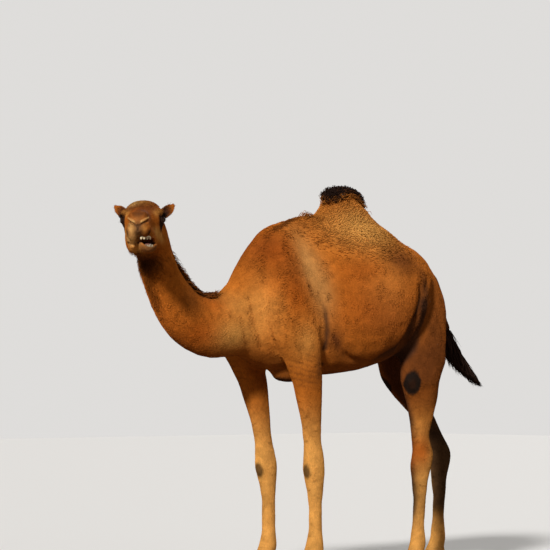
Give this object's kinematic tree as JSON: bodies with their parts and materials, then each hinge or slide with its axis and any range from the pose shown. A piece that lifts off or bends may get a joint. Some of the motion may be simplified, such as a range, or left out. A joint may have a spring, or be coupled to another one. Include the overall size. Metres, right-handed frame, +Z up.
{
  "type": "dromedary camel",
  "caption": "Standing one-humped camel with a low curved neck, its head turned to its left and its mouth open to one side; a still life-size model.",
  "frame": {"origin": "on the floor, under the middle of the bounding box", "axes": "+Z up; the body faces -Y, so +Y is towards the tail; +X is the camel's left, the side its head turns to"},
  "size_m": [0.79, 2.7862, 2.08],
  "materials": {
    "coat": "short matte hair over skin, orange tan",
    "dark_hair": "coarse blackish-brown hair",
    "eye": "wet gloss",
    "tooth": "ivory, slightly worn",
    "tongue": "moist",
    "horn": "dull horn"
  },
  "bodies": {
    "root": {"ear_left": "coat", "ear_right": "coat", "eye_left": "eye", "eye_right": "eye", "fore_foot_left": "coat", "fore_foot_right": "coat", "fore_leg_lower_left": "coat", "fore_leg_lower_right": "coat", "fore_leg_upper_left": "coat", "fore_leg_upper_right": "coat", "fore_toenail_left_left": "horn", "fore_toenail_left_right": "horn", "fore_toenail_right_left": "horn", "fore_toenail_right_right": "horn", "head": "coat", "hind_foot_left": "coat", "hind_foot_right": "coat", "hind_leg_lower_left": "coat", "hind_leg_lower_right": "coat", "hind_leg_upper_left": "coat", "hind_leg_upper_right": "coat", "hind_toenail_left_left": "horn", "hind_toenail_left_right": "horn", "hind_toenail_right_left": "horn", "hind_toenail_right_right": "horn", "hump": "coat", "lower_jaw": "coat", "lower_teeth": "tooth", "neck": "coat", "tail": "coat", "tail_tuft": "dark_hair", "tongue": "tongue", "trunk": "coat", "upper_teeth": "tooth"}
  },
  "joints": []
}
